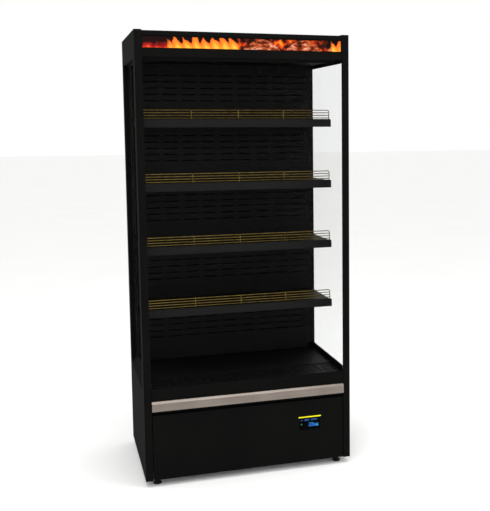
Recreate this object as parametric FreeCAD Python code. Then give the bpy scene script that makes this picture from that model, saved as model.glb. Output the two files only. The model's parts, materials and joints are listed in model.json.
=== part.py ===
import FreeCAD, Part
import math
import os

# Heated multideck display case: four open shelves and a base deck between two
# glazed end panels. Millimetres, +X to the viewer's right, the front faces -Y,
# +Z up, and the origin is on the floor under the middle of the case.

# ---- driving dimensions ----
width = 950.0
depth = 640.0            # bumper face to rear edge of the end panels
height = 2000.0
base_z = 30.0            # underside of the carcass above the floor
end_t = 32.0             # thickness of an end panel
skin = 1.5               # sheet steel
bumper_proud = 10.0      # how far the bumper stands in front of the posts

front_y = -depth / 2 + bumper_proud
rear_y = depth / 2
half_w = width / 2
inner_x = half_w - end_t
gap = 1.5                # between a liner sheet and the end panel beside it
liner_x = inner_x - gap          # outer face of the liner sheets
liner_in = liner_x - skin

# the clear side opening between the liners, and the wider window in the outer skin
clear_z0 = 473.0
clear_z1 = 1873.0
window_front = front_y + 70.0
window_rear = rear_y - 58.0
window_z0 = clear_z0 - 43.0
window_z1 = clear_z1 + 7.0
sill_z1 = clear_z0 - 11.0        # inner, upper edge of the sloping sill
glass_t = 6.0
glass_x = inner_x + skin
rim = 12.0               # how far the glass runs behind its frame
gasket_t = 2.0
hem = 8.0                # return flange on the window's front edge, and the post's inner lip

# levels
kick_top = 325.0
bumper_z0 = 345.0
bumper_z1 = 389.0
apron_top = 446.0
deck_z = 449.0
header_z0 = 1887.0
roof_z = height - 4.0
ceiling_z = 1890.0
duct_top = 1955.0

# interior depth
wall_y = front_y + 473.0         # front face of the inner back wall
plenum_y = rear_y - 60.0
rear_panel_y = rear_y - 9.5      # inner face of the rear panel
tub_z = 250.0
tub_front = front_y + 30.0
ceiling_front = front_y + 72.0

# shelves
shelf_count = 4
shelf_pitch = 287.0
rail_top_1 = 763.0               # top of the lowest ticket rail
rail_h = 37.0
rail_d = 12.0
shelf_front = front_y + 161.0
tray_drop = 4.0                  # shelf surface below the rail's top
tray_half = 432.5
tray_rear = wall_y - 6.0
pivot_drop = 14.0                # hook pivot below the shelf surface

slot_pitch = shelf_pitch / 7
slot_w = 6.0
slot_h = 25.0
upright_x = 428.0
bracket_x = 435.5
bracket_t = 3.0

fan_x = 200.0
fan_z = 342.0
fan_size = 150.0
fan_depth = 38.0
fan_bore = 138.0
baffle_y = front_y + 250.0

foot_x = 421.0
foot_front_y = front_y + 50.0
foot_rear_y = rear_y - 50.0
stem_r = 6.0

display_x = 277.5
display_z = 212.5
display_w = 103.0
display_h = 60.0

X = FreeCAD.Vector(1, 0, 0)
Y = FreeCAD.Vector(0, 1, 0)
Z = FreeCAD.Vector(0, 0, 1)

nodes = {}


def vec(x, y, z):
    return FreeCAD.Vector(x, y, z)


def box(x0, x1, y0, y1, z0, z1):
    return Part.makeBox(x1 - x0, y1 - y0, z1 - z0, vec(x0, y0, z0))


def rod(radius, start, axis, length):
    return Part.makeCylinder(radius, length, start, axis)


def fused(shapes):
    return shapes[0].fuse(shapes[1:]).removeSplitter()


def cut_all(shape, tools):
    return shape.cut(Part.makeCompound(tools))


def mirrored(shape):
    return shape.mirror(vec(0, 0, 0), X)


def left_and_right(shape):
    return Part.makeCompound([mirrored(shape), shape])


def thick_outline(points, t):
    """Closed outline of a folded sheet: the points, then their mitred offset by t to the left."""
    offset = []
    last = len(points) - 1
    for i, (px, py) in enumerate(points):
        before = points[max(i - 1, 0)]
        after = points[min(i + 1, last)]
        d0 = (px - before[0], py - before[1]) if i > 0 else (after[0] - px, after[1] - py)
        d1 = (after[0] - px, after[1] - py) if i < last else d0
        l0 = math.hypot(*d0)
        l1 = math.hypot(*d1)
        n0 = (-d0[1] / l0, d0[0] / l0)
        n1 = (-d1[1] / l1, d1[0] / l1)
        k = t / (1 + n0[0] * n1[0] + n0[1] * n1[1])
        offset.append((px + (n0[0] + n1[0]) * k, py + (n0[1] + n1[1]) * k))
    return list(points) + offset[::-1]


def folded_x(points, t, x0, x1):
    """A sheet folded along X, from its section points (y, z)."""
    outline = [vec(x0, y, z) for y, z in thick_outline(points, t)]
    face = Part.Face(Part.makePolygon(outline + outline[:1]))
    return face.extrude(vec(x1 - x0, 0, 0))


def prism_x(points, x0, x1):
    outline = [vec(x0, y, z) for y, z in points]
    face = Part.Face(Part.makePolygon(outline + outline[:1]))
    return face.extrude(vec(x1 - x0, 0, 0))


def round_edges(shape, radius, wanted):
    """Fillet the straight edges whose (direction, middle) the wanted function accepts."""
    chosen = []
    for edge in shape.Edges:
        if not isinstance(edge.Curve, Part.Line):
            continue
        d = edge.Curve.Direction
        middle = edge.CenterOfMass
        if wanted(d, middle, edge.Length):
            chosen.append(edge)
    return shape.makeFillet(radius, chosen)


def slots(x_list, z_list, w, h, y0, y1):
    """Cutters for a grid of upright openings through a sheet that lies in XZ."""
    return [box(x - w / 2, x + w / 2, y0, y1, z - h / 2, z + h / 2) for z in z_list for x in x_list]


def spread(start, end, count):
    return [start + (end - start) * i / (count - 1) for i in range(count)]


def open_tray(x0, x1, y0, y1, top, drop, t):
    """A sheet folded down on its four sides."""
    return box(x0, x1, y0, y1, top - drop, top).cut(
        box(x0 + t, x1 - t, y0 + t, y1 - t, top - drop - 1, top - t))


def add(name, shape):
    nodes[name] = shape


# ---- end panels: folded pans with a front post flange, windows and glass ----
def end_panel():
    outer = box(inner_x, half_w, front_y, rear_y, base_z, height)
    hollow = box(inner_x - 1, half_w - skin, front_y + skin, rear_y - skin, base_z + skin, height - skin)
    lip_front = box(inner_x, inner_x + skin, front_y, front_y + hem, base_z, height)
    lip_rear = box(inner_x, inner_x + skin, rear_y - 20, rear_y, base_z, height)
    window = box(half_w - 5, half_w + 5, window_front, window_rear, window_z0, window_z1)
    window_hem = box(half_w - hem, half_w - 0.5, window_front - skin, window_front, window_z0, window_z1)
    pan = fused([outer.cut(hollow), lip_front, lip_rear])
    pan = round_edges(pan, 1.2, lambda d, m, n: abs(d.z) > 0.99 and n > height - base_z - 1
                      and abs(m.x - half_w) < 0.01)
    return fused([pan.cut(window), window_hem])


def window_surround(x0, x1, sill_in, sill_out):
    """Head, rear jamb and sloping sill round a window, each rim wide."""
    head = box(x0, x1, window_front, window_rear + rim, window_z1, window_z1 + rim)
    jamb = box(x0, x1, window_rear, window_rear + rim, sill_out - rim, window_z1 + rim)
    corners = [(x0, sill_in - rim), (x1, sill_out - rim), (x1, sill_out), (x0, sill_in), (x0, sill_in - rim)]
    outline = Part.makePolygon([vec(x, window_front, z) for x, z in corners])
    sill = Part.Face(outline).extrude(vec(0, window_rear + rim - window_front, 0))
    return fused([head, jamb, sill])


frame_x = glass_x + glass_t + gasket_t
glass = box(glass_x, glass_x + glass_t, front_y + 2, window_rear + rim, sill_z1 - rim, window_z1 + rim)
add("right_end_panel", end_panel())
add("left_end_panel", mirrored(end_panel()))
add("right_side_glass", glass)
add("left_side_glass", mirrored(glass))
add("window_frames", left_and_right(window_surround(frame_x, half_w - skin, sill_z1, window_z0)))
add("glass_gaskets", left_and_right(window_surround(glass_x + glass_t, frame_x, sill_z1, sill_z1)))

# ---- roof, rear and insulation ----
roof_half = inner_x - 0.5
add("roof_panel", open_tray(-roof_half, roof_half, front_y + 70, rear_y - 12, roof_z, 24, skin))

vents = slots(spread(-340, 40, 6), [90, 110, 130, 150, 170], 56, 6, rear_panel_y - 5, rear_y)
screw_spots = [(sx * 425, z) for sx in (-1, 1) for z in spread(60, 1940, 6)]
screw_holes = [rod(2.2, vec(x, rear_panel_y - 5, z), Y, 20) for x, z in screw_spots]
switch_x = 250.0
gland_x = 340.0
inlet_z = 120.0
switch_hole = box(switch_x - 11, switch_x + 11, rear_panel_y - 5, rear_y, inlet_z - 15, inlet_z + 15)
gland_hole = rod(12.6, vec(gland_x, rear_panel_y - 5, inlet_z), Y, 30)
rear_sheet = box(-roof_half, roof_half, rear_panel_y, rear_panel_y + skin, 76, roof_z - 25)
add("rear_panel", cut_all(rear_sheet, vents + screw_holes + [switch_hole, gland_hole]))


def pan_screw(x, z):
    head = rod(4.0, vec(x, rear_panel_y + skin, z), Y, 2.4)
    head = head.makeFillet(1.0, [e for e in head.Edges if e.CenterOfMass.y > rear_panel_y + skin + 2])
    return head.fuse(rod(2.0, vec(x, rear_panel_y - skin, z), Y, 2 * skin)).removeSplitter()


add("panel_screws", Part.makeCompound([pan_screw(x, z) for x, z in screw_spots]))

rear_board = box(-438, 438, plenum_y + 2, rear_panel_y - 4, 262, duct_top + 1)
top_board = box(-438, 438, front_y + 74, plenum_y, duct_top + 1, roof_z - 3)
floor_board = box(-438, 438, tub_front + 12, plenum_y - 4, tub_z - 42, tub_z - 1)
add("insulation_boards", Part.makeCompound([rear_board, top_board, floor_board]))

# ---- header: fascia with sign channel, sign, light tray and LED strip ----
sign_z1 = roof_z - 24.0
sign_z0 = sign_z1 - 47.0
channel = 5.0
fascia_y = front_y + 2
upper = folded_x([(front_y + 70, roof_z), (fascia_y, roof_z), (fascia_y, sign_z1 + channel),
                  (fascia_y + 5, sign_z1 + channel), (fascia_y + 5, sign_z1)], skin, -441, 441)
lower = folded_x([(fascia_y + 5, sign_z0), (fascia_y + 5, sign_z0 - channel),
                  (fascia_y, sign_z0 - channel), (fascia_y, header_z0), (front_y + 8, header_z0)],
                 skin, -441, 441)
cheek = box(441, roof_half, fascia_y, front_y + 69, header_z0, roof_z)
add("header_fascia", fused([upper, lower, cheek, mirrored(cheek)]))
add("header_sign", box(-440, 440, fascia_y + 6.8, fascia_y + 9.8, sign_z0 - 3, sign_z1 + 3))

tray_back = front_y + 53
tray_path = [(fascia_y + 11, sign_z1 + 9), (tray_back, sign_z1 + 9), (tray_back, sign_z0 - 9),
             (fascia_y + 11, sign_z0 - 9)]
add("sign_light_tray", folded_x(tray_path, 1.0, -438, 438))
led_z = (sign_z0 + sign_z1) / 2
board = box(-430, 430, tray_back - 3, tray_back - 1, led_z - 6, led_z + 6)
leds = [box(x - 2.5, x + 2.5, tray_back - 4.2, tray_back - 3, led_z - 1.5, led_z + 1.5)
        for x in spread(-420, 420, 43)]
add("sign_led_strip", fused([board] + leds))

# ---- canopy duct, air curtain grille and lamp ----
duct = box(-liner_x, liner_x, ceiling_front, wall_y - 0.5, ceiling_z, duct_top).cut(
    box(-liner_in, liner_in, ceiling_front - 1, wall_y + 1, ceiling_z + skin, duct_top - skin))
flange_x = inner_x + skin - 0.1
low_flange = box(liner_x, flange_x, front_y + 21, wall_y - 0.5, clear_z1, header_z0 - 0.5)
high_flange = box(liner_x, flange_x, ceiling_front, wall_y - 0.5, header_z0 - 0.5, duct_top)
side_flange = low_flange.fuse(high_flange)
lamp_lip = box(-liner_x, liner_x, ceiling_front, ceiling_front + skin, ceiling_z - 14, ceiling_z)
add("canopy_duct", fused([duct, side_flange, mirrored(side_flange), lamp_lip]))

grille_y0 = front_y + 9
grille_y1 = ceiling_front - 0.5
cells = [box(x - 7.5, x + 7.5, y - 8, y + 8, ceiling_z - 5, ceiling_z + 20)
         for y in (grille_y0 + 12, grille_y0 + 31, grille_y0 + 50) for x in spread(-425, 425, 51)]
curtain = box(-438, 438, grille_y0, grille_y1, ceiling_z, ceiling_z + 10)
add("air_curtain_grille", cut_all(curtain, cells))

lamp_y = ceiling_front + 16
lamp = box(-430, 430, lamp_y - 10, lamp_y + 10, ceiling_z - 11, ceiling_z)
add("canopy_lamp", round_edges(lamp, 5.0, lambda d, m, n: abs(d.x) > 0.99 and m.z < ceiling_z - 5))

# ---- back wall, uprights and plenum ----
wall_half = upright_x - 15.5
wall = box(-wall_half, wall_half, wall_y, wall_y + skin, deck_z + 3, ceiling_z - 1)
air_rows = []
for level in range(shelf_count + 1):
    bay_floor = rail_top_1 + shelf_pitch * (level - 1)
    air_rows += [bay_floor + 90 + 30 * i for i in range(5)]
add("back_air_panel", cut_all(wall, slots(spread(-360, 360, 9), air_rows, 66, 5, wall_y - 2, wall_y + 4)))

slot_z = [rail_top_1 - tray_drop - pivot_drop + slot_pitch * i for i in range(-4, 27)]


def upright():
    x0 = upright_x - 15
    x1 = upright_x + 14.5
    shell = box(x0, x1, wall_y, wall_y + 25, clear_z0 + 3, ceiling_z - 1)
    inside = box(x0 + 2, x1 - 2, wall_y + 2, wall_y + 26, clear_z0 + 2, ceiling_z)
    holes = slots([bracket_x], slot_z, slot_w, slot_h, wall_y - 1, wall_y + 4)
    return cut_all(shell.cut(inside), holes)


add("shelf_uprights", left_and_right(upright()))

plenum_back = box(-liner_x, liner_x, plenum_y, plenum_y + skin, tub_z, duct_top)
plenum_side = box(liner_in, liner_x, wall_y + 26, plenum_y + skin, clear_z0 + 1, duct_top)
add("plenum_liner", fused([plenum_back, plenum_side, mirrored(plenum_side)]))

# ---- base tub with the fan baffle ----
tub_floor = box(-liner_x, liner_x, tub_front, plenum_y - 0.5, tub_z, tub_z + skin)
tub_wall = box(-liner_x, liner_x, tub_front, tub_front + skin, tub_z, apron_top - 7)
tub_side = box(liner_in, liner_x, tub_front, plenum_y - 0.5, tub_z, clear_z0)
tub_rim = box(liner_x, flange_x, front_y + 21, wall_y + 20, clear_z0 - skin, clear_z0)
side_front = box(liner_in, liner_x, front_y + 4, tub_front, apron_top + 1, clear_z0)
ledge = box(liner_in - 15, liner_in, front_y + 164, tray_rear - 2, deck_z - 29, deck_z - 27.5)
baffle = box(-liner_in, liner_in, baffle_y, baffle_y + skin, tub_z, deck_z - 28)
baffle_holes = [rod(fan_bore / 2, vec(s * fan_x, baffle_y - 5, fan_z), Y, 20) for s in (-1, 1)]
tub_parts = [tub_floor, tub_wall, tub_side, mirrored(tub_side), tub_rim, mirrored(tub_rim),
             side_front, mirrored(side_front), ledge, mirrored(ledge), cut_all(baffle, baffle_holes)]
probe_y = front_y + 160
probe_z = 380.0
add("base_tub", cut_all(fused(tub_parts), [rod(4.2, vec(430, probe_y, probe_z), X, 20)]))

# ---- fans: housing with motor spider, and impeller on its shaft ----
housing_y = baffle_y + skin
motor_y = housing_y + 20


def fan_housing(cx):
    body = box(cx - fan_size / 2, cx + fan_size / 2, housing_y, housing_y + fan_depth,
               fan_z - fan_size / 2, fan_z + fan_size / 2)
    body = round_edges(body, 8, lambda d, m, n: abs(d.y) > 0.99)
    body = body.cut(rod(fan_bore / 2, vec(cx, housing_y - 1, fan_z), Y, fan_depth + 2))
    motor = rod(29, vec(cx, motor_y, fan_z), Y, fan_depth - 20)
    arms = []
    for turn in range(4):
        arm = box(cx + 25, cx + fan_bore / 2 + 2, housing_y + fan_depth - 5, housing_y + fan_depth,
                  fan_z - 4, fan_z + 4)
        arm.rotate(vec(cx, 0, fan_z), Y, 45 + 90 * turn)
        arms.append(arm)
    bore = rod(3.05, vec(cx, motor_y - 1, fan_z), Y, 14)
    return fused([body, motor] + arms).cut(bore)


def impeller(cx):
    hub = rod(30, vec(cx, housing_y + 2, fan_z), Y, 16)
    hub = hub.makeFillet(3, [e for e in hub.Edges if e.CenterOfMass.y < housing_y + 3])
    blades = []
    for i in range(7):
        blade = box(cx + 27, cx + 66, housing_y - 12, housing_y + 44, fan_z - 1, fan_z + 1)
        blade.rotate(vec(cx, housing_y + 16, fan_z), X, 52)
        blade = blade.common(box(cx, cx + 70, housing_y + 3, housing_y + 31, fan_z - 60, fan_z + 60))
        blade.rotate(vec(cx, 0, fan_z), Y, 360 / 7 * i)
        blades.append(blade)
    wheel = fused([hub] + blades)
    wheel = wheel.cut(rod(32, vec(cx, housing_y + 18, fan_z), Y, 30))
    behind = vec(cx, housing_y - 20, fan_z)
    rim_cut = rod(90, behind, Y, 80).cut(rod(66, behind, Y, 80))
    shaft = rod(3, vec(cx, housing_y + 10, fan_z), Y, 21)
    return wheel.cut(rim_cut).fuse(shaft).removeSplitter()


add("fan_housings", Part.makeCompound([fan_housing(-fan_x), fan_housing(fan_x)]))
add("left_fan_impeller", impeller(-fan_x))
add("right_fan_impeller", impeller(fan_x))

# ---- heater bank and probe ----
heater_half = 400.0
leg_y = (wall_y - 83, wall_y - 43)
rows_z = (tub_z + 50, tub_z + 95, tub_z + 140)


def hairpin(z):
    legs = [rod(4.2, vec(-heater_half - 20, y, z), X, 2 * heater_half) for y in leg_y]
    middle = vec(heater_half - 20, sum(leg_y) / 2, z)
    bend = Part.makeTorus((leg_y[1] - leg_y[0]) / 2, 4.2, middle, Z, 0, 360, 180)
    bend.rotate(middle, Z, -90)
    return legs + [bend]


heater = [box(-heater_half - 14, -heater_half - 11, leg_y[0] - 20, leg_y[1] + 20,
              rows_z[0] - 20, rows_z[2] + 20)]
heater += [box(x - 0.6, x + 0.6, leg_y[0] - 14, leg_y[1] + 14, rows_z[0] - 14, rows_z[2] + 14)
           for x in spread(-heater_half + 20, heater_half - 50, 26)]
for row in rows_z:
    heater += hairpin(row)
add("heater_bank", fused(heater))
probe = [rod(3, vec(372, probe_y, probe_z), X, 66), rod(8, vec(liner_in - 2.8, probe_y, probe_z), X, 2.8)]
add("temperature_probe", fused([probe[0], probe[1]]))

# ---- apron, bumper ----
backing_y = front_y + 12.5
apron_path = [(tub_front - 2, apron_top - 5), (front_y + 14, apron_top - 5), (front_y + 14, apron_top),
              (front_y + 2, apron_top), (front_y + 2, bumper_z1 + 2), (backing_y, bumper_z1 + 2),
              (backing_y, kick_top + 5), (front_y + 25, kick_top + 5)]
add("apron_panel", folded_x(apron_path, skin, -liner_x, liner_x))

bumper_y = -depth / 2
bumper_path = [(backing_y, bumper_z1), (bumper_y, bumper_z1), (bumper_y, bumper_z0), (backing_y, bumper_z0)]
bumper = folded_x(bumper_path, skin, -442, 442)
bumper = round_edges(bumper, 3.0, lambda d, m, n: abs(d.x) > 0.99 and abs(m.y - bumper_y) < 0.01)
bumper = round_edges(bumper, 1.4, lambda d, m, n: abs(d.x) > 0.99 and abs(m.y - bumper_y - skin) < 0.01)
add("bumper_rail", bumper)

# ---- base deck: lift-out tray and return air grille ----
add("deck_tray", open_tray(-437, 437, front_y + 163, tray_rear, deck_z, 27.5, skin))
grille = open_tray(-438, 438, front_y + 15.5, front_y + 162, apron_top, 16, skin)
grille = grille.cut(box(-439, 439, front_y, tub_front + 4, 400, apron_top - 3.4))
lanes = [box(x - 14, x + 14, y - 4, y + 4, apron_top - 5, apron_top + 5)
         for y in spread(front_y + 40, front_y + 144, 6) for x in spread(-414, 414, 24)]
add("return_air_grille", cut_all(grille, lanes))

# ---- kick panel, and the controller in it ----
kick_half = inner_x - 2.5
kick = box(-kick_half, kick_half, front_y + 1, front_y + 19, base_z + 2, kick_top)
kick = round_edges(kick, 2.0, lambda d, m, n: abs(m.y - front_y - 1) < 0.01 and abs(d.y) < 0.01)
kick = kick.cut(box(-kick_half + skin, kick_half - skin, front_y + 1 + skin, front_y + 30,
                    base_z + 2 + skin, kick_top - skin))
cutout = box(display_x - display_w / 2 + 2, display_x + display_w / 2 - 2, front_y - 5, front_y + 10,
             display_z - display_h / 2 + 2, display_z + display_h / 2 - 2)
add("kick_panel", kick.cut(cutout))

bezel = box(display_x - display_w / 2, display_x + display_w / 2, front_y - 1.5, front_y + 1,
            display_z - display_h / 2, display_z + display_h / 2)
bezel = round_edges(bezel, 2.5, lambda d, m, n: abs(d.y) > 0.99)
module = box(display_x - display_w / 2 + 3, display_x + display_w / 2 - 3, front_y + 1, front_y + 36,
             display_z - display_h / 2 + 3, display_z + display_h / 2 - 3)
add("display_housing", fused([bezel, module]))
screen = box(display_x - display_w / 2 + 1.5, display_x + display_w / 2 - 1.5, front_y - 2.5, front_y - 1.5,
             display_z - display_h / 2 + 1.5, display_z + display_h / 2 - 1.5)
add("display_screen", round_edges(screen, 1.5, lambda d, m, n: abs(d.y) > 0.99))
bar_z = display_z + display_h / 2 + 0.5
bar = box(display_x - 53.5, display_x + 53.5, front_y - 3, front_y + 1, bar_z, bar_z + 5)
add("display_light_bar", round_edges(bar, 1.2, lambda d, m, n: abs(m.y - front_y + 3) < 0.01))

# ---- chassis: C-channels round the base, floor pan, socket nuts ----
channel_z = base_z + 2


def channel_ring():
    outer = box(-441, 441, front_y + 22, rear_panel_y - 2, channel_z, channel_z + 42)
    hollow = box(-438.5, 438.5, front_y + 24.5, rear_panel_y - 4.5, channel_z + 2.5, channel_z + 39.5)
    throat = box(-401, 401, front_y + 62, rear_panel_y - 42, channel_z - 1, channel_z + 60)
    return outer.cut(hollow).cut(throat)


pan = box(-402, 402, front_y + 61, rear_panel_y - 41, channel_z, channel_z + skin)
beams = []
for x in (-140, 140):
    beam = box(x - 20, x + 20, front_y + 61, rear_panel_y - 41, channel_z + skin, channel_z + 28)
    beams.append(beam.cut(box(x - 18, x + 18, front_y + 60, rear_panel_y, channel_z, channel_z + 26)))
foot_spots = [(sx * foot_x, y) for sx in (-1, 1) for y in (foot_front_y, foot_rear_y)]


def hexagon(cx, cy, z, across, tall):
    outline = [vec(cx + across / math.sqrt(3) * math.cos(math.radians(60 * i)),
                   cy + across / math.sqrt(3) * math.sin(math.radians(60 * i)), z) for i in range(7)]
    return Part.Face(Part.makePolygon(outline)).extrude(vec(0, 0, tall))


nuts = [hexagon(x, y, channel_z + 2.5, 19, 10) for x, y in foot_spots]
stems = [rod(stem_r + 0.06, vec(x, y, base_z - 5), Z, 60) for x, y in foot_spots]
add("base_chassis", cut_all(fused([channel_ring(), pan] + beams + nuts), stems))

for side, sx in (("left", -1), ("right", 1)):
    for end, y in (("front", foot_front_y), ("rear", foot_rear_y)):
        x = sx * foot_x
        pad = rod(18, vec(x, y, 0), Z, 9)
        pad = pad.makeFillet(2.5, [e for e in pad.Edges if e.CenterOfMass.z > 8])
        neck = Part.makeCone(12, 9, 4, vec(x, y, 9), Z)
        stem = rod(stem_r, vec(x, y, 13), Z, 43)
        stem = stem.makeChamfer(1.0, [e for e in stem.Edges if e.CenterOfMass.z > 55])
        add("levelling_foot_%s_%s" % (side, end), fused([pad, neck, hexagon(x, y, 13, 17, 7), stem]))

# ---- electrical gear ----
box_z0 = channel_z + 28.2
box_z1 = 195.0
case = round_edges(box(150, 400, -220, 20, box_z0, box_z1), 4, lambda d, m, n: abs(d.z) > 0.99)
case = case.cut(box(152, 398, -218, 18, box_z0 + 2, box_z1 + 5))
lid = round_edges(box(148, 402, -222, 22, box_z1, box_z1 + 2), 5, lambda d, m, n: abs(d.z) > 0.99)
add("electrical_box", Part.makeCompound([case, lid]))

gland = [hexagon(0, 0, 0, 30, 5), rod(12.5, vec(0, 0, -12), Z, 12.1)]
gland_nut = hexagon(0, 0, -9, 30, 5)
gland_body = fused([gland[0], gland[1], gland_nut])
gland_body = gland_body.cut(rod(7.0, vec(0, 0, -30), Z, 60))
gland_body.rotate(vec(0, 0, 0), X, -90)
gland_body.translate(vec(gland_x, rear_panel_y + skin, inlet_z))
dome = rod(13, vec(gland_x, rear_panel_y + skin + 5, inlet_z), Y, 3)
dome = dome.cut(rod(7.0, vec(gland_x, rear_panel_y, inlet_z), Y, 30))
add("cable_gland", fused([gland_body, dome]))

pin_y = rear_panel_y + skin - 1
switch_bezel = box(switch_x - 14, switch_x + 14, rear_panel_y + skin, rear_panel_y + skin + 2,
                   inlet_z - 18, inlet_z + 18)
switch_body = box(switch_x - 10.8, switch_x + 10.8, rear_panel_y - 24, rear_panel_y + skin,
                  inlet_z - 14.8, inlet_z + 14.8)
switch_well = box(switch_x - 8.5, switch_x + 8.5, rear_panel_y - 8, rear_panel_y + skin + 4,
                  inlet_z - 13, inlet_z + 13)
switch_pin = rod(1.5, vec(switch_x - 9, pin_y, inlet_z), X, 18)
add("switch_housing", fused([fused([switch_bezel, switch_body]).cut(switch_well), switch_pin]))
rocker_outline = [(pin_y - 3, inlet_z - 5), (pin_y + 3.2, inlet_z - 11.6), (pin_y + 5.4, inlet_z - 11.4),
                  (pin_y + 3.6, inlet_z), (pin_y + 5.4, inlet_z + 11.4), (pin_y + 3.2, inlet_z + 11.6),
                  (pin_y - 3, inlet_z + 5)]
rocker = prism_x(rocker_outline, switch_x - 8.2, switch_x + 8.2)
rocker = rocker.cut(rod(1.55, vec(switch_x - 9, pin_y, inlet_z), X, 18))
rocker.rotate(vec(switch_x, pin_y, inlet_z), X, -9)
add("switch_rocker", rocker)


# ---- shelves ----
def bracket(z):
    """Arm, heel against the upright, and a hook through its slot."""
    pivot_z = z - pivot_drop
    nose_y = shelf_front + rail_d + 2
    heel_y = wall_y - 0.6
    arm = [(nose_y, z - 24), (tray_rear + 1, z - 30), (heel_y, z - 62), (heel_y, z - 26),
           (tray_rear + 1, z - 2), (nose_y, z - 2)]
    arm_plate = prism_x(arm, bracket_x - bracket_t / 2, bracket_x + bracket_t / 2)
    neck = prism_x([(wall_y - 7, pivot_z - 8), (wall_y + 11, pivot_z - 8), (wall_y + 11, pivot_z + 6),
                    (wall_y - 7, pivot_z + 6)],
                   bracket_x - bracket_t / 2, bracket_x + bracket_t / 2)
    tooth = prism_x([(wall_y + 7, pivot_z - 18), (wall_y + 12, pivot_z - 18), (wall_y + 12, pivot_z + 8),
                     (wall_y + 7, pivot_z + 8)],
                    bracket_x - bracket_t / 2, bracket_x + bracket_t / 2)
    return fused([arm_plate, neck, tooth])


fence_y = shelf_front + rail_d + 6
pin_x = (-214.0, 0.0, 214.0)
wire_r = 2.0
fence_half = tray_half + wire_r + 0.5     # the end posts hang just outside the shelf


def fence(rail_top):
    """Four wires between two bent ends, standing on three pins that drop into the shelf."""
    top = rail_top + 43 - wire_r
    corner = 8.0
    end_x = fence_half
    foot = rail_top - tray_drop - 14
    end_foot = rail_top - tray_drop + 1
    bend = Part.makeTorus(corner, wire_r, vec(0, 0, 0), Z)
    bend = bend.common(box(0, 20, 0, 20, -5, 5))
    bend.rotate(vec(0, 0, 0), X, 90)
    bend.translate(vec(end_x - corner, fence_y, top - corner))
    end_post = rod(wire_r, vec(end_x, fence_y, end_foot), Z, top - corner - end_foot)
    wires = [rod(wire_r, vec(-end_x + corner, fence_y, top), X, 2 * (end_x - corner))]
    for i in range(1, 4):
        wires.append(rod(wire_r, vec(-end_x, fence_y, top - 12.0 * i), X, 2 * end_x))
    posts = [rod(wire_r, vec(x, fence_y, foot), Z, top - foot) for x in pin_x]
    return fused([end_post, bend, mirrored(end_post), mirrored(bend)] + wires + posts)


def ticket_rail(rail_top):
    """Extruded holder: flat back, hooked lips top and bottom, and the strip between them."""
    y0 = shelf_front
    z0 = rail_top - rail_h
    body = box(-440, 440, y0, y0 + rail_d, z0, rail_top)
    body = round_edges(body, 7.0, lambda d, m, n: abs(d.y) > 0.99 and abs(m.z - rail_top) < 0.01)
    body = round_edges(body, 1.0, lambda d, m, n: abs(d.x) > 0.99 and abs(m.y - y0) < 0.01)
    cavity = box(-441, 441, y0 + 4.5, y0 + rail_d - 2, z0 + 2, rail_top - 2)
    strip_seat = box(-441, 441, y0 - 1, y0 + 1.2, z0 + 4.5, rail_top - 4.5)
    return body.cut(cavity).cut(strip_seat)


for number in range(1, shelf_count + 1):
    rail_top = rail_top_1 + shelf_pitch * (number - 1)
    top = rail_top - tray_drop
    tray = open_tray(-tray_half, tray_half, shelf_front + rail_d, tray_rear, top, 22, skin)
    sockets = [rod(2.5, vec(x, fence_y, top - 10), Z, 20) for x in pin_x]
    add("shelf_tray_%d" % number, cut_all(tray, sockets))
    add("shelf_brackets_%d" % number, left_and_right(bracket(top)))
    add("ticket_rail_%d" % number, ticket_rail(rail_top))
    add("product_fence_%d" % number, fence(rail_top))

os.makedirs("parts", exist_ok=True)
for name, shape in nodes.items():
    shape.exportStep("parts/%s.step" % name)
print(len(nodes), "nodes")
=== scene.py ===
import json
import math

import bmesh
import bpy
from mathutils import Euler, Matrix, Vector


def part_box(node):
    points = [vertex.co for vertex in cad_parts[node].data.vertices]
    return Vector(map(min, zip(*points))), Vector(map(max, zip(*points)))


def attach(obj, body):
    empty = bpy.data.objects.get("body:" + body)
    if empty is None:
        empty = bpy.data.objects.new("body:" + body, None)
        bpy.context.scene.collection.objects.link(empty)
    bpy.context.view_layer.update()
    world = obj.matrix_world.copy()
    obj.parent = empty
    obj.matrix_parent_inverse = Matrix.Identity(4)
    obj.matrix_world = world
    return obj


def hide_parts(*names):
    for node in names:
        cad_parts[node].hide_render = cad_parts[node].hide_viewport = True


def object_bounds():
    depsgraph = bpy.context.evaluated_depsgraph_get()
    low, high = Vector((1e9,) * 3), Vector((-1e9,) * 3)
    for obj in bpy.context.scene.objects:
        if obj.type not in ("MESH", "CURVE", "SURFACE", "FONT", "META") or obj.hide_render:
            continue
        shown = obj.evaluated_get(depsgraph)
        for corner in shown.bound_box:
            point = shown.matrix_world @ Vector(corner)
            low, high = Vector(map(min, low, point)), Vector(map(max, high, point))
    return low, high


# Looks of the heated display case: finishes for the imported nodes, the small pieces that the
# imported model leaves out, a pale studio and the camera. Metres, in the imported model's frame.

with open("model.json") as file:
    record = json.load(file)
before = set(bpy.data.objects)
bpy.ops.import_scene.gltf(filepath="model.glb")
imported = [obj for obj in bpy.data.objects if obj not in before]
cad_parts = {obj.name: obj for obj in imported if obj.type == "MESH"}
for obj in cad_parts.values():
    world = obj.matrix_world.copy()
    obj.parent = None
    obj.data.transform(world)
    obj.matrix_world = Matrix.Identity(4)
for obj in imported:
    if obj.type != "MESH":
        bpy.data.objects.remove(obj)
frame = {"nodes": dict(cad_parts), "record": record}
cad_low, cad_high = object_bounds()

MM = 0.001


# ---------------------------------------------------------------- finishes
def linear(code):
    """sRGB hex to linear RGBA."""
    parts = [int(code[i:i + 2], 16) / 255 for i in (1, 3, 5)]
    return tuple(c / 12.92 if c <= 0.04045 else ((c + 0.055) / 1.055) ** 2.4 for c in parts) + (1.0,)


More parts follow.
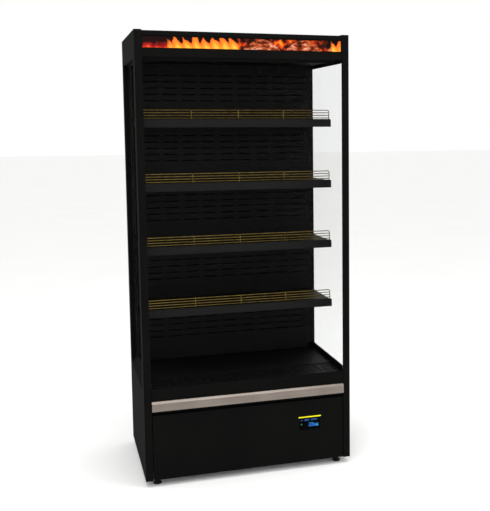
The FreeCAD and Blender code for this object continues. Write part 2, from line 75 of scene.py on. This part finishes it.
class Finish:
    """A material in the making: its shader and the Object coordinates of its surface."""

    def __init__(self, name, **fixed):
        self.material = bpy.data.materials.new(name)
        self.material.use_nodes = True
        self.tree = self.material.node_tree
        self.tree.nodes.clear()
        self.shader = self.tree.nodes.new("ShaderNodeBsdfPrincipled")
        self.node("OutputMaterial", links={"Surface": self.shader.outputs["BSDF"]})
        self.place = self.node("TexCoord")["Object"]
        for key, value in fixed.items():
            self.shader.inputs[key.replace("_", " ")].default_value = value

    def node(self, kind, settings=None, links=None):
        """Adds a shader node with its settings, colour stops and links, and gives its outputs."""
        made = self.tree.nodes.new("ShaderNode" + kind)
        for key, value in (settings or {}).items():
            if key == "stops":
                elements = made.color_ramp.elements
                while len(elements) < len(value):
                    elements.new(0.5)
                for element, (position, code) in zip(elements, value):
                    element.position = position
                    element.color = linear(code)
            elif isinstance(key, str) and hasattr(made, key):
                setattr(made, key, value)
            else:
                made.inputs[key].default_value = value
        for key, socket in (links or {}).items():
            self.tree.links.new(socket, made.inputs[key])
        return made.outputs

    def drive(self, **sockets):
        """Links outputs to the shader's sockets."""
        for key, socket in sockets.items():
            self.tree.links.new(socket, self.shader.inputs[key.replace("_", " ")])


EVEN = (1, 1, 1)


def mottled(name, mottle, stops, rough, relief=None, lit=False, **fixed):
    """A whole finish whose colour and roughness wander together over blotches, with a relief.

    mottle is the blotches' size in mm, their detail and how far they are drawn out along X, Y
    and Z; relief is the same with a depth in mm at its end.
    """
    finish = Finish(name, **fixed)
    patterns = []
    for size_mm, detail, drawn_out in [mottle] + ([relief[:3]] if relief else []):
        place = finish.node("Mapping", {"Scale": [1 / factor for factor in drawn_out]},
                            {"Vector": finish.place})["Vector"]
        patterns.append(finish.node("TexNoise", {"Scale": 1 / (size_mm * MM), "Detail": detail},
                                    {"Vector": place})["Fac"])
    colour = finish.node("ValToRGB", {"stops": stops}, {"Fac": patterns[0]})["Color"]
    dull = finish.node("MapRange", {"To Min": rough[0], "To Max": rough[1]}, {"Value": patterns[0]})
    finish.drive(Base_Color=colour, Roughness=dull["Result"])
    if lit:
        finish.drive(Emission_Color=colour)
    if relief:
        finish.drive(Normal=finish.node("Bump", {"Distance": relief[3] * MM},
                                        {"Height": patterns[1]})["Normal"])
    return finish.material


def powder_coat():
    """Polyester powder baked on folded steel: a deep matt black with a faint orange peel."""
    # the real peel is about 1 mm across, and 3 mm is the finest that shows
    return mottled("powder_coat_black", (260, 4.0, EVEN), [(0.3, "#0b0b0b"), (0.75, "#0f0f0e")],
                   (0.74, 0.86), (3.0, 2.0, EVEN, 0.04), Specular_IOR_Level=0.018)


def oven_enamel():
    """Stoved enamel on the hot inner sheets: smoother, with wiped streaks along the shelves."""
    return mottled("stove_enamel_black", (22, 4.0, (12, 1, 1)), [(0.25, "#060606"), (0.8, "#0c0b0b")],
                   (0.42, 0.62), (2.5, 2.0, EVEN, 0.03), Specular_IOR_Level=0.10)


def brushed_stainless():
    """Stainless strip, belt-brushed along its length: long fine grain and warm smudges."""
    finish = Finish("stainless_belt_brushed", Metallic=1.0, Anisotropic=0.5)
    # the real scratches are 0.1 mm wide, and 2 mm is the finest that shows
    along = finish.node("Mapping", {"Scale": [1 / 60, 1, 1]}, {"Vector": finish.place})["Vector"]
    grain = finish.node("TexNoise", {"Scale": 1 / (2.2 * MM), "Detail": 6.0}, {"Vector": along})["Fac"]
    smudge = finish.node("TexNoise", {"Scale": 1 / (160 * MM), "Detail": 3.0},
                         {"Vector": finish.place})["Fac"]
    fine = finish.node("ValToRGB", {"stops": [(0.25, "#6f6660"), (0.75, "#8f867f")]}, {"Fac": grain})
    dim = finish.node("ValToRGB", {"stops": [(0.35, "#6c635c"), (0.75, "#8b837b")]}, {"Fac": smudge})
    both = finish.node("Mix", {"data_type": "RGBA", 0: 0.35}, {6: fine["Color"], 7: dim["Color"]})[2]
    dull = finish.node("MapRange", {"To Min": 0.30, "To Max": 0.46}, {"Value": grain})["Result"]
    scratch = finish.node("Bump", {"Distance": 0.02 * MM}, {"Height": grain})["Normal"]
    finish.drive(Base_Color=both, Roughness=dull, Normal=scratch)
    return finish.material


def galvanised():
    """Hot-dipped zinc on sheet steel: soft grey with a flat, low-contrast spangle."""
    finish = Finish("galvanised_sheet", Metallic=1.0)
    flake = finish.node("TexVoronoi", {"Scale": 1 / (9 * MM)}, {"Vector": finish.place})["Color"]
    shade = finish.node("RGBToBW", links={"Color": flake})["Val"]
    grey = finish.node("ValToRGB", {"stops": [(0.2, "#8d9193"), (0.8, "#989c9e")]}, {"Fac": shade})
    dull = finish.node("MapRange", {"To Min": 0.44, "To Max": 0.52}, {"Value": shade})["Result"]
    waves = finish.node("TexNoise", {"Scale": 1 / (40 * MM), "Detail": 3.0}, {"Vector": finish.place})
    wavy = finish.node("Bump", {"Distance": 0.1 * MM}, {"Height": waves["Fac"]})["Normal"]
    finish.drive(Base_Color=grey["Color"], Roughness=dull, Normal=wavy)
    return finish.material


def plated_wire():
    """Steel wire, zinc plated and yellow passivated: brassy, browner in patches."""
    return mottled("wire_yellow_passivated", (14, 4.0, EVEN), [(0.3, "#4e4023"), (0.7, "#70602f")],
                   (0.22, 0.38), (1.5, 2.0, (10, 1, 1), 0.01), Metallic=1.0)


def tempered_glass():
    """Toughened float glass, polished by the float bath: almost colourless, a faint smear."""
    # the IOR is below real glass, so that what lies behind the panes stays clear
    return mottled("float_glass_toughened", (120, 5.0, EVEN), [(0.3, "#fcfefd"), (0.8, "#ffffff")],
                   (0.0, 0.004), Transmission_Weight=1.0, IOR=1.12)


def sponge_rubber():
    """EPDM tape and gasket, extruded: dull and slightly chalky."""
    return mottled("epdm_gasket", (9, 4.0, EVEN), [(0.3, "#0a0a0a"), (0.8, "#161616")],
                   (0.7, 0.88), (1.2, 3.0, EVEN, 0.05), Specular_IOR_Level=0.15)


def moulded_plastic(name, dark, light, rough, gloss=0.3):
    """Injection-moulded or extruded plastic: even colour, spark-eroded or die-drawn surface."""
    # the real texture is 0.2 mm across, and 1.5 mm is the finest that shows
    return mottled(name, (40, 3.0, EVEN), [(0.3, dark), (0.8, light)], rough,
                   (1.5, 2.0, EVEN, 0.02), Specular_IOR_Level=gloss)


def white_enamel():
    """White enamel inside the sign's light tray, a little yellowed by the lamps."""
    return mottled("white_enamel", (120, 3.0, EVEN), [(0.3, "#e9e6dc"), (0.8, "#f3f2ec")], (0.3, 0.45))


def glowing(name, dim, bright, strength, blotch_mm):
    """Lit plastic: its colour wanders a little where the light behind it is uneven."""
    return mottled(name, (blotch_mm, 2.0, EVEN), [(0.3, dim), (0.7, bright)], (0.25, 0.4), lit=True,
                   Emission_Strength=strength, Specular_IOR_Level=0.2)


def mineral_wool():
    """Pressed mineral wool board: yellow-brown felted fibre."""
    flattened = (1, 1, 0.3)
    return mottled("mineral_wool_board", (12, 8.0, flattened), [(0.25, "#7c6f3a"), (0.75, "#b9ac6c")],
                   (0.85, 1.0), (12, 8.0, flattened, 0.8), Specular_IOR_Level=0.1)


def heated_steel():
    """Stainless heater sheath and fins: straw and blue temper colours from the heat."""
    return mottled("stainless_heat_tinted", (45, 4.0, EVEN),
                   [(0.25, "#6f6a66"), (0.5, "#8d7a55"), (0.75, "#5d6275")], (0.35, 0.55), Metallic=1.0)


def sign_print():
    """Printed opal acrylic, lit from behind: flames on black, then two glazed roasts."""
    finish = Finish("acrylic_printed_backlit", Emission_Strength=0.16, Specular_IOR_Level=0.04)
    low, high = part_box("header_sign")
    node = finish.node
    xyz = node("SeparateXYZ", links={"Vector": finish.place})
    along = node("MapRange", {"From Min": low.x, "From Max": high.x}, {"Value": xyz["X"]})["Result"]
    up = node("MapRange", {"From Min": low.z, "From Max": high.z}, {"Value": xyz["Z"]})["Result"]

    # patterns in the print, from broad to fine
    vary, dusk_glow, ember_glow, swell = [
        node("TexNoise", {"Scale": 1 / (size_mm * MM), "Detail": detail}, {"Vector": finish.place})
        for size_mm, detail in ((70, 1.0), (38, 3.0), (30, 3.0), (28, 2.0))]

    # tongues of flame, which sway and narrow as they rise
    flame_pitch = 41 * MM
    sway = node("Math", {"operation": "MULTIPLY"}, {0: swell["Fac"], 1: up})["Value"]
    steps = node("Math", {"operation": "MULTIPLY_ADD", 1: 1 / flame_pitch},
                 {0: xyz["X"], 2: sway})["Value"]
    off_centre = node("Math", {"operation": "PINGPONG", 1: 0.5}, {0: steps})["Value"]
    reach = node("MapRange", {"From Min": 0.35, "From Max": 0.65, "To Min": 1.25, "To Max": 0.8},
                 {"Value": vary["Fac"]})["Result"]
    burnt = node("Math", {"operation": "MULTIPLY"}, {0: up, 1: reach})["Value"]
    half_width = node("MapRange", {"To Min": 0.95, "To Max": 0.10}, {"Value": burnt})["Result"]
    inside = node("Math", {"operation": "SUBTRACT"}, {0: half_width, 1: off_centre})["Value"]
    flame_stops = [(0.0, "#0d0706"), (0.03, "#a5290f"), (0.10, "#d9601c"), (0.38, "#e37a24"),
                   (0.8, "#efad38")]
    flames = node("ValToRGB", {"stops": flame_stops}, {"Fac": inside})["Color"]

    # low red embers before the flames
    ember_height = node("Math", {"operation": "SUBTRACT"}, {0: ember_glow["Fac"], 1: up})["Value"]
    ember_stops = [(0.0, "#160304"), (0.08, "#5f0c0c"), (0.25, "#8f1410"), (0.45, "#d8481f")]
    embers = node("ValToRGB", {"stops": ember_stops}, {"Fac": ember_height})["Color"]

    # roasts: brown crackled skin under a domed outline, one after another
    roast_pitch = 190 * MM
    grain = node("Mapping", {"Scale": [1 / 2.2, 1, 1]}, {"Vector": finish.place})["Vector"]
    skin = node("TexNoise", {"Scale": 1 / (15 * MM), "Detail": 6.0}, {"Vector": grain})["Fac"]
    skin_stops = [(0.32, "#1c0a06"), (0.43, "#5a1f10"), (0.50, "#94421f"), (0.57, "#ab5c3e"),
                  (0.63, "#c9957e"), (0.69, "#7d2a14")]
    roast = node("ValToRGB", {"stops": skin_stops}, {"Fac": skin})["Color"]
    pace = node("Math", {"operation": "MULTIPLY_ADD", 1: 1 / roast_pitch, 2: -0.40},
                {0: xyz["X"]})["Value"]
    from_middle = node("Math", {"operation": "PINGPONG", 1: 0.5}, {0: pace})["Value"]
    squared = node("Math", {"operation": "MULTIPLY"}, {0: from_middle, 1: from_middle})["Value"]
    dome = node("Math", {"operation": "MULTIPLY_ADD", 1: -4.5, 2: 0.95}, {0: squared})["Value"]
    under = node("Math", {"operation": "SUBTRACT"}, {0: dome, 1: up})["Value"]
    in_roast = node("MapRange", {"From Min": 0.0, "From Max": 0.08}, {"Value": under})["Result"]
    dusk_stops = [(0.38, "#0b0707"), (0.50, "#3a1109"), (0.60, "#b1330f"), (0.68, "#ee7b1d")]
    dusk = node("ValToRGB", {"stops": dusk_stops}, {"Fac": dusk_glow["Fac"]})["Color"]
    feast = node("Mix", {"data_type": "RGBA"}, {0: in_roast, 6: dusk, 7: roast})[2]

    # the three pictures, side by side, and a last flame at the right end
    picture = embers
    for start, end, following in ((0.115, 0.135, flames), (0.46, 0.475, feast), (0.945, 0.955, flames)):
        change = node("MapRange", {"From Min": start, "From Max": end}, {"Value": along})["Result"]
        picture = node("Mix", {"data_type": "RGBA"}, {0: change, 6: picture, 7: following})[2]
    dull = node("MapRange", {"To Min": 0.2, "To Max": 0.3}, {"Value": skin})["Result"]
    finish.drive(Base_Color=picture, Emission_Color=picture, Roughness=dull)
    return finish.material


def cover_glass():
    """Toughened cover glass over a dark display, with faint finger marks."""
    return mottled("display_cover_glass", (18, 5.0, EVEN), [(0.3, "#010102"), (0.8, "#04060a")],
                   (0.10, 0.22), Specular_IOR_Level=0.02)


def floor_paint():
    """Matt white floor paint, barely mottled."""
    return mottled("floor_paint_white", (700, 2.0, EVEN), [(0.2, "#f6f6f5"), (0.8, "#f9f9f8")],
                   (0.85, 0.95), Specular_IOR_Level=0.1)


zinc = galvanised()
ticket_pvc = moulded_plastic("pvc_ticket_rail_black", "#0a0a0a", "#0f0f0e", (0.44, 0.56), 0.12)

finish_of_slot = {
    "powder_coat_black": powder_coat(),
    "oven_enamel_black": oven_enamel(),
    "bumper_steel": brushed_stainless(),
    "fence_wire": plated_wire(),
    "tempered_glass": tempered_glass(),
    "black_rubber": sponge_rubber(),
    "sign_print": sign_print(),
    "white_enamel": white_enamel(),
    "led_board": glowing("led_board_white", "#e8dcc0", "#fff4dc", 2.0, 20),
    "opal_diffuser": glowing("opal_polycarbonate_lamp", "#ffd08a", "#ffe2b0", 1.2, 60),
    "galvanised_sheet": zinc,
    "mineral_wool": mineral_wool(),
    "fan_plastic": moulded_plastic("glass_filled_nylon_black", "#111111", "#1d1d1c", (0.5, 0.65)),
    "heater_steel": heated_steel(),
    "controller_plastic": moulded_plastic("abs_controller_black", "#050505", "#0a0a0a", (0.35, 0.5),
                                          0.1),
    "screen_glass": cover_glass(),
    "yellow_light": glowing("acrylic_light_guide_yellow", "#cfc408", "#e6dc1a", 0.22, 30),
    "ticket_plastic": ticket_pvc,
    "zinc_screw": zinc,
    "foot_nylon": moulded_plastic("nylon_foot_black", "#0c0c0c", "#141414", (0.45, 0.6), 0.2),
    "switch_plastic": moulded_plastic("polycarbonate_rocker_black", "#0b0b0b", "#151515", (0.2, 0.35)),
}

for part in frame["record"]["subparts"]:
    for holder in frame["nodes"][part["node"]].material_slots:
        holder.material = finish_of_slot[part["material_slot"]]


# ---------------------------------------------------------------- new pieces
def piece(name, mesh, finish, body, smooth=False):
    """Turns a bmesh into a finished object that rides on a body."""
    bmesh.ops.recalc_face_normals(mesh, faces=mesh.faces)
    for face in mesh.faces:
        face.smooth = smooth
    data = bpy.data.meshes.new(name)
    mesh.to_mesh(data)
    mesh.free()
    data.materials.append(finish)
    made = bpy.data.objects.new(name, data)
    bpy.context.scene.collection.objects.link(made)
    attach(made, body)
    return made


def slab(mesh, low, high, rounding):
    """A block between two corners, its edges rounded."""
    size = Vector(high) - Vector(low)
    middle = (Vector(high) + Vector(low)) / 2
    place = Matrix.Translation(middle) @ Matrix.Diagonal((*size, 1.0))
    made = bmesh.ops.create_cube(mesh, size=1.0, matrix=place)
    edges = list({edge for vert in made["verts"] for edge in vert.link_edges})
    bmesh.ops.bevel(mesh, geom=edges, offset=rounding, affect="EDGES", segments=2, profile=0.5,
                    material=-1)


def ring(mesh, centre, radius, wire_radius):
    """A wire ring round an axis along Y."""
    edge = centre + Vector((radius, 0, 0))
    made = bmesh.ops.create_circle(mesh, segments=8, radius=wire_radius, matrix=Matrix.Translation(edge))
    section = made["verts"] + list({link for vert in made["verts"] for link in vert.link_edges})
    bmesh.ops.spin(mesh, geom=section, cent=centre, axis=(0, 1, 0), angle=2 * math.pi, steps=48,
                   use_merge=True)


def bar(mesh, start, end, radius):
    """A straight round bar between two points."""
    line = end - start
    place = Matrix.Translation((start + end) / 2) @ line.to_track_quat("Z", "Y").to_matrix().to_4x4()
    bmesh.ops.create_cone(mesh, cap_ends=True, segments=8, radius1=radius, radius2=radius,
                          depth=line.length, matrix=place)


def ticket_strips():
    """The plain black strip that slides into each ticket rail's seat."""
    end_gap = 8 * MM
    lip = 5 * MM
    strip_front = 0.5 * MM
    strip_rear = 1.1 * MM
    for number in range(1, 5):
        low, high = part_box("ticket_rail_%d" % number)
        mesh = bmesh.new()
        slab(mesh, (low.x + end_gap, low.y + strip_front, low.z + lip),
             (high.x - end_gap, low.y + strip_rear, high.z - lip), 0.1 * MM)
        piece("ticket_strip_%d" % number, mesh, ticket_pvc, "shelf_%d" % number)


def fan_guards():
    """Wire guards on the air inlet side of the fans: rings on four spokes."""
    stand_off = 5 * MM
    ring_count = 6
    ring_pitch = 12 * MM
    first_ring = 14 * MM
    spoke_start = 12 * MM
    low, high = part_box("fan_housings")
    outer = (high.z - low.z) / 2
    for side, name in ((-1, "left_fan_guard"), (1, "right_fan_guard")):
        centre = Vector((side * (high.x - outer), low.y - stand_off, (low.z + high.z) / 2))
        mesh = bmesh.new()
        for number in range(ring_count):
            ring(mesh, centre, first_ring + ring_pitch * number, 1.0 * MM)
        for quarter in range(4):
            angle = math.radians(45 + 90 * quarter)
            out = Vector((math.cos(angle), 0, math.sin(angle)))
            bar(mesh, centre + out * spoke_start, centre + out * (outer + stand_off), 1.3 * MM)
        piece(name, mesh, zinc, "cabinet", smooth=True)


def bumper_with_sloped_top():
    """The stainless rail as folded: its top slopes back into the case and catches the light."""
    low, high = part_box("bumper_rail")
    slope_depth = 11 * MM
    slope_drop = 9 * MM
    fold_radius = 1.5 * MM
    sheet = 1.2 * MM
    section = [(high.y, high.z), (low.y + slope_depth, high.z), (low.y, high.z - slope_drop),
               (low.y, low.z), (high.y, low.z)]
    mesh = bmesh.new()
    verts = [mesh.verts.new((low.x, y, z)) for y, z in section]
    edges = [mesh.edges.new(pair) for pair in zip(verts, verts[1:])]
    drawn = bmesh.ops.extrude_edge_only(mesh, edges=edges)["geom"]
    ends = [item for item in drawn if isinstance(item, bmesh.types.BMVert)]
    bmesh.ops.translate(mesh, verts=ends, vec=(high.x - low.x, 0, 0))
    folds = [edge for edge in mesh.edges if len(edge.link_faces) == 2]
    bmesh.ops.bevel(mesh, geom=folds, offset=fold_radius, affect="EDGES", segments=3, profile=0.5,
                    material=-1)
    bmesh.ops.recalc_face_normals(mesh, faces=mesh.faces)
    bmesh.ops.solidify(mesh, geom=mesh.faces, thickness=sheet)
    rail = piece("bumper_rail_sloped_top", mesh, finish_of_slot["bumper_steel"], "cabinet")
    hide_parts("bumper_rail")


def display_tiles():
    """The lit blocks behind the controller's cover glass, without any lettering."""
    proud = 0.25 * MM
    low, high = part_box("display_screen")
    wide = high.x - low.x
    tall = high.z - low.z
    # each block's left, bottom, right and top as fractions of the screen
    blocks = {
        "display_tiles_dim": (glowing("display_tile_blue", "#0d2c5e", "#174a86", 0.12, 12),
                              [(0.06, 0.79, 0.15, 0.87), (0.24, 0.77, 0.46, 0.91),
                               (0.55, 0.79, 0.86, 0.90)]),
        "display_tiles_bright": (glowing("display_tile_cyan", "#0f4c9a", "#1f86c4", 0.2, 25),
                                 [(0.45, 0.28, 0.90, 0.40), (0.45, 0.44, 0.90, 0.50),
                                  (0.45, 0.54, 0.66, 0.60)]),
        "display_ready_lamp": (glowing("display_lamp_green", "#0f6a2f", "#1a8f3e", 0.25, 6),
                               [(0.07, 0.44, 0.12, 0.54)]),
    }
    for name, (finish, corners) in blocks.items():
        mesh = bmesh.new()
        for left, bottom, right, top in corners:
            slab(mesh, (low.x + left * wide, low.y - proud, low.z + bottom * tall),
                 (low.x + right * wide, low.y, low.z + top * tall), 0.08 * MM)
        piece(name, mesh, finish, "kick")


ticket_strips()
fan_guards()
bumper_with_sloped_top()
display_tiles()


# ---------------------------------------------------------------- studio and camera
def studio_floor():
    mesh = bmesh.new()
    bmesh.ops.create_grid(mesh, x_segments=1, y_segments=1, size=45.0)
    data = bpy.data.meshes.new("studio_floor")
    mesh.to_mesh(data)
    mesh.free()
    data.materials.append(floor_paint())
    made = bpy.data.objects.new("studio_floor", data)
    bpy.context.scene.collection.objects.link(made)


def softbox(name, place, target, size, watts):
    lamp = bpy.data.lights.new(name, "AREA")
    lamp.shape = "RECTANGLE"
    lamp.size, lamp.size_y = size
    lamp.energy = watts
    made = bpy.data.objects.new(name, lamp)
    made.location = place
    made.rotation_euler = (Vector(target) - Vector(place)).to_track_quat("-Z", "Y").to_euler()
    bpy.context.scene.collection.objects.link(made)


def studio_light():
    """A white surround and three weak softboxes, mostly from the front and above."""
    world = bpy.data.worlds.new("studio_world")
    bpy.context.scene.world = world
    world.use_nodes = True
    surround = world.node_tree.nodes["Background"]
    surround.inputs["Color"].default_value = linear("#ffffff")
    surround.inputs["Strength"].default_value = 1.0
    bpy.context.scene.view_settings.view_transform = "Standard"
    middle = (cad_low + cad_high) / 2
    softbox("front_softbox", (-0.9, -3.6, 3.0), middle, (2.2, 1.6), 40)
    softbox("right_softbox", (3.0, -2.6, 2.2), middle, (1.6, 2.0), 25)
    softbox("top_softbox", (0.0, -0.9, 4.2), middle, (3.0, 2.0), 70)


def camera():
    """At eye level, left of the case, turned a little to the right and down."""
    lens = bpy.data.cameras.new("camera")
    lens.sensor_width = 36.0
    lens.lens = 62.55
    lens.shift_x = -0.196
    lens.shift_y = -0.0753
    lens.clip_end = 60.0
    tilt_down = 5.954
    turn_right = 18.413
    roll_right = 0.22
    made = bpy.data.objects.new("camera", lens)
    made.location = (-0.831, -4.174, 1.598)
    level = Euler((math.radians(90 - tilt_down), 0.0, math.radians(-turn_right))).to_matrix()
    made.rotation_euler = (level @ Matrix.Rotation(math.radians(-roll_right), 3, "Z")).to_euler()
    bpy.context.scene.collection.objects.link(made)
    bpy.context.scene.camera = made


studio_floor()
studio_light()
camera()
